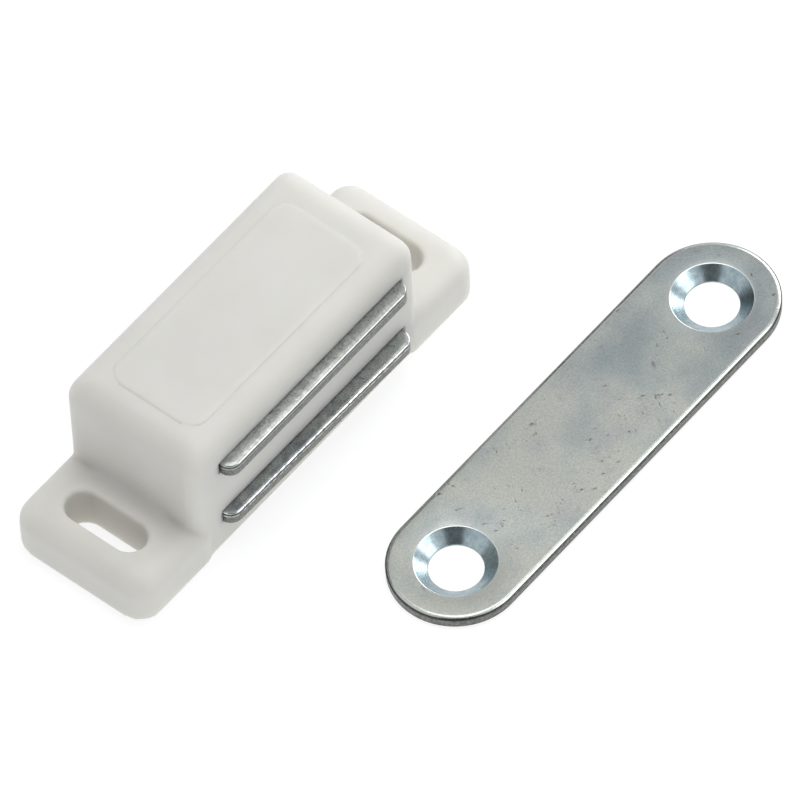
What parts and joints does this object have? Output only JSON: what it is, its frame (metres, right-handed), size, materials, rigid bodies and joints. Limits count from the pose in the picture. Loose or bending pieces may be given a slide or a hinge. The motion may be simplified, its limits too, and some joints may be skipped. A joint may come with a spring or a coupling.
{
  "type": "magnetic catch",
  "caption": "Surface magnetic cupboard catch: white housing with screw ears, floating steel pole plates round a magnet, and a flat countersunk strike plate.",
  "frame": {"origin": "middle of the housing's mounting face, between the two ears", "axes": "+X along the catch, +Z out of the panel it is screwed to, -Y the way the pole plates face"},
  "size_m": [0.0628, 0.0383, 0.0155],
  "materials": {
    "white_plastic": "satin moulded polypropylene, slightly translucent",
    "plated_steel": "bright zinc plating on a pressed steel plate",
    "zinc_plated_steel": "satin zinc plating with faint bluish and yellowish blotches",
    "ferrite": "dull dark grey sintered ferrite"
  },
  "bodies": {
    "catch": {"housing": "white_plastic", "strike_plate": "zinc_plated_steel"},
    "magnet_pack": {"magnet": "ferrite"},
    "upper_pole": {"upper_pole_plate": "plated_steel"},
    "lower_pole": {"lower_pole_plate": "plated_steel"}
  },
  "joints": [
    {"name": "pack_float", "type": "slide", "parent": "catch", "child": "magnet_pack", "axis": [0, -1, 0], "range_m": [-0.00025, 0.00025]},
    {"name": "upper_pole_rock", "type": "hinge", "parent": "magnet_pack", "child": "upper_pole", "pos_m": [0.0006, 0, 0.0103], "axis": [0, 0, 1], "range_deg": [-1, 1]},
    {"name": "lower_pole_rock", "type": "hinge", "parent": "magnet_pack", "child": "lower_pole", "pos_m": [0.0006, 0, 0.0047], "axis": [0, 0, 1], "range_deg": [-0.05, 1.95]}
  ]
}
